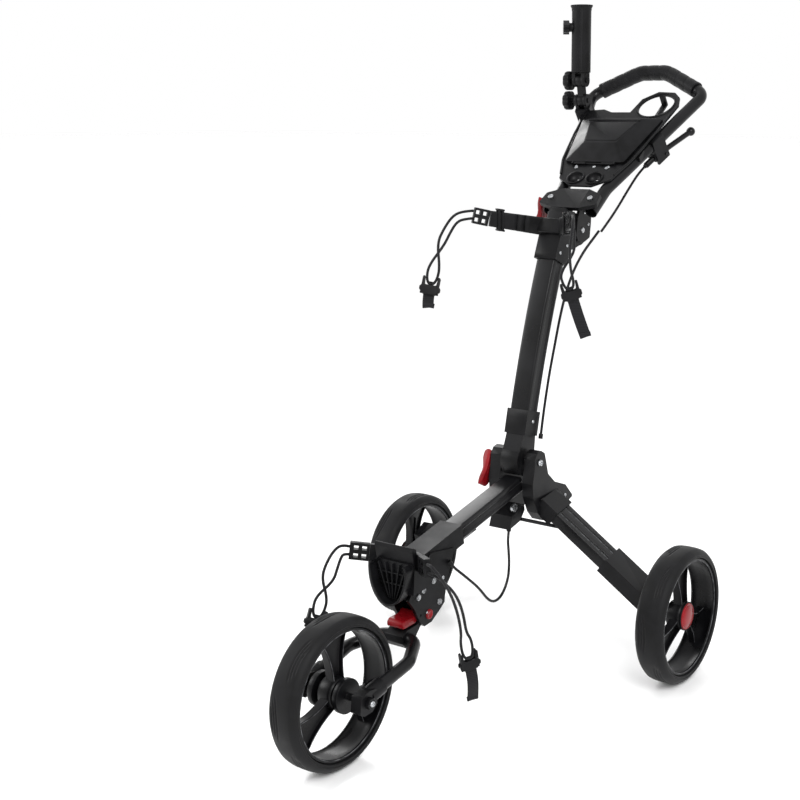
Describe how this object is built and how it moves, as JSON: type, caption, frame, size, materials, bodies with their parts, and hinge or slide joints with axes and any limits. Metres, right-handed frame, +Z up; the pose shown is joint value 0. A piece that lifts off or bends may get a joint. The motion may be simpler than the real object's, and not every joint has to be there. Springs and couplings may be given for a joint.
{
  "type": "folding golf push cart",
  "caption": "Three-wheel folding golf push cart with bag cradles, wrapped handle, lidded tray, umbrella holder and hand brake.",
  "frame": {"origin": "centre of the cart's box on the floor, cords left out", "axes": "+Z up, +Y towards the user who pushes, +X to the side of the brake lever"},
  "size_m": [0.672, 1.1958, 1.2489],
  "materials": {
    "black_plastic": "fine moulded texture",
    "powder_coat": "satin black",
    "tyre": "matte EVA foam",
    "red_plastic": "satin",
    "steel": "zinc plated",
    "leather": "stitched wrap",
    "elastic": "braided",
    "cable_jacket": "satin"
  },
  "bodies": {
    "frame": {"lower_tube": "powder_coat", "lower_bracket": "black_plastic", "base_cradle": "black_plastic", "knee_yoke": "black_plastic", "frame_bolts": "steel", "lower_cable": "cable_jacket", "lower_strap_left": "elastic", "lower_strap_right": "elastic", "lower_buckle_left": "black_plastic", "lower_buckle_right": "black_plastic"},
    "knee_latch": {"knee_lever": "red_plastic"},
    "fork_latch": {"fork_lever": "red_plastic"},
    "fork_catch": {"fork_button": "red_plastic"},
    "fork": {"fork_head": "black_plastic", "fork_tube": "powder_coat", "fork_knuckles": "black_plastic", "front_axle": "steel"},
    "front_wheel": {"front_tyre": "tyre", "front_rim": "black_plastic"},
    "upper": {"knee_sleeve": "black_plastic", "upper_tube": "powder_coat", "upper_bracket": "black_plastic", "upper_arms": "black_plastic", "upper_clips": "black_plastic", "handle_knuckle": "black_plastic", "upper_cable": "cable_jacket", "upper_strap_left": "elastic", "upper_strap_right": "elastic", "upper_buckle_left": "black_plastic", "upper_buckle_right": "black_plastic"},
    "handle": {"handle_plate": "black_plastic", "handle_tube": "powder_coat", "handle_grip": "leather", "tray": "black_plastic", "handle_bolts": "steel", "holder_clamp": "black_plastic", "brake_base": "black_plastic", "handle_cable": "cable_jacket"},
    "handle_latch": {"handle_lever": "red_plastic"},
    "lid": {"tray_lid": "black_plastic"},
    "brake": {"brake_lever": "powder_coat"},
    "holder_swivel": {"holder_joint": "black_plastic"},
    "holder": {"holder_tube": "black_plastic"},
    "low_knob_body": {"low_knob": "black_plastic"},
    "high_knob_body": {"high_knob": "black_plastic"},
    "tube_knob_body": {"tube_knob": "black_plastic"},
    "rear_left": {"arm_socket_left": "black_plastic", "rear_arm_left": "powder_coat", "arm_bracket_left": "black_plastic", "link_rod_left": "steel"},
    "wheel_left": {"rear_tyre_left": "tyre", "rear_rim_left": "black_plastic", "hub_cap_left": "red_plastic"},
    "rear_right": {"arm_socket_right": "black_plastic", "rear_arm_right": "powder_coat", "arm_bracket_right": "black_plastic", "link_rod_right": "steel"},
    "wheel_right": {"rear_tyre_right": "tyre", "rear_rim_right": "black_plastic", "hub_cap_right": "red_plastic"}
  },
  "joints": [
    {"name": "knee_fold", "type": "hinge", "parent": "frame", "child": "upper", "pos_m": [0, 0.06411, 0.394], "axis": [1, 0, 0], "range_deg": [0, 92]},
    {"name": "arm_fold_left", "type": "hinge", "parent": "frame", "child": "rear_left", "pos_m": [0, 0.06411, 0.394], "axis": [1, 0, 0], "range_deg": [-83, 0]},
    {"name": "arm_fold_right", "type": "hinge", "parent": "frame", "child": "rear_right", "pos_m": [0, 0.06411, 0.394], "axis": [1, 0, 0], "range_deg": [-83, 0]},
    {"name": "rear_wheel_left", "type": "hinge", "parent": "rear_left", "child": "wheel_left", "pos_m": [-0.308, 0.13811, 0.127], "axis": [1, 0, 0], "continuous": true},
    {"name": "rear_wheel_right", "type": "hinge", "parent": "rear_right", "child": "wheel_right", "pos_m": [0.308, 0.13811, 0.127], "axis": [1, 0, 0], "continuous": true},
    {"name": "knee_latch", "type": "hinge", "parent": "frame", "child": "knee_latch", "pos_m": [-0.0606, 0.06411, 0.394], "axis": [0, 0.8924, -0.4512], "range_deg": [0, 70]},
    {"name": "fork_fold", "type": "hinge", "parent": "frame", "child": "fork", "pos_m": [0, -0.22089, 0.206], "axis": [1, 0, 0], "range_deg": [0, 135]},
    {"name": "front_wheel_spin", "type": "hinge", "parent": "fork", "child": "front_wheel", "pos_m": [0, -0.47089, 0.127], "axis": [1, 0, 0], "continuous": true},
    {"name": "fork_latch", "type": "hinge", "parent": "frame", "child": "fork_latch", "pos_m": [0, -0.27289, 0.197], "axis": [1, 0, 0], "range_deg": [-28, 0]},
    {"name": "fork_button_press", "type": "slide", "parent": "frame", "child": "fork_catch", "axis": [-1, 0, 0], "range_m": [0, 0.004], "stiffness_N_per_m": 600, "springref_m": -0.001},
    {"name": "handle_fold", "type": "hinge", "parent": "upper", "child": "handle", "pos_m": [0, 0.25411, 0.812], "axis": [1, 0, 0], "range_deg": [-120, 0]},
    {"name": "handle_latch", "type": "hinge", "parent": "handle", "child": "handle_latch", "pos_m": [-0.0726, 0.25411, 0.812], "axis": [0, -0.9755, 0.2201], "range_deg": [0, 70]},
    {"name": "lid_open", "type": "hinge", "parent": "handle", "child": "lid", "pos_m": [0, 0.3338, 0.93592], "axis": [1, 0, 0], "range_deg": [0, 100]},
    {"name": "brake_squeeze", "type": "hinge", "parent": "handle", "child": "brake", "pos_m": [0.09, 0.44847, 0.95545], "axis": [0.9648, -0.2129, -0.1547], "range_deg": [-12, 0], "stiffness_Nm_per_rad": 2, "springref_deg": 1.15},
    {"name": "holder_tilt", "type": "hinge", "parent": "handle", "child": "holder_swivel", "pos_m": [-0.11245, 0.47987, 1.05893], "axis": [1, 0, 0], "range_deg": [-20, 35]},
    {"name": "holder_lean", "type": "hinge", "parent": "holder_swivel", "child": "holder", "pos_m": [-0.11245, 0.47187, 1.09893], "axis": [1, 0, 0], "range_deg": [-50, 85]},
    {"name": "low_knob_turn", "type": "hinge", "parent": "handle", "child": "low_knob_body", "pos_m": [-0.11245, 0.47987, 1.05893], "axis": [1, 0, 0], "continuous": true},
    {"name": "high_knob_turn", "type": "hinge", "parent": "holder", "child": "high_knob_body", "pos_m": [-0.11245, 0.47187, 1.09893], "axis": [1, 0, 0], "continuous": true},
    {"name": "tube_knob_turn", "type": "hinge", "parent": "holder", "child": "tube_knob_body", "pos_m": [-0.13295, 0.45762, 1.20493], "axis": [-0.8211, -0.5708, 0], "continuous": true}
  ],
  "couplings": [
    {"joint": "arm_fold_left", "follows": "knee_fold", "ratio": -0.9},
    {"joint": "arm_fold_right", "follows": "knee_fold", "ratio": -0.9}
  ]
}
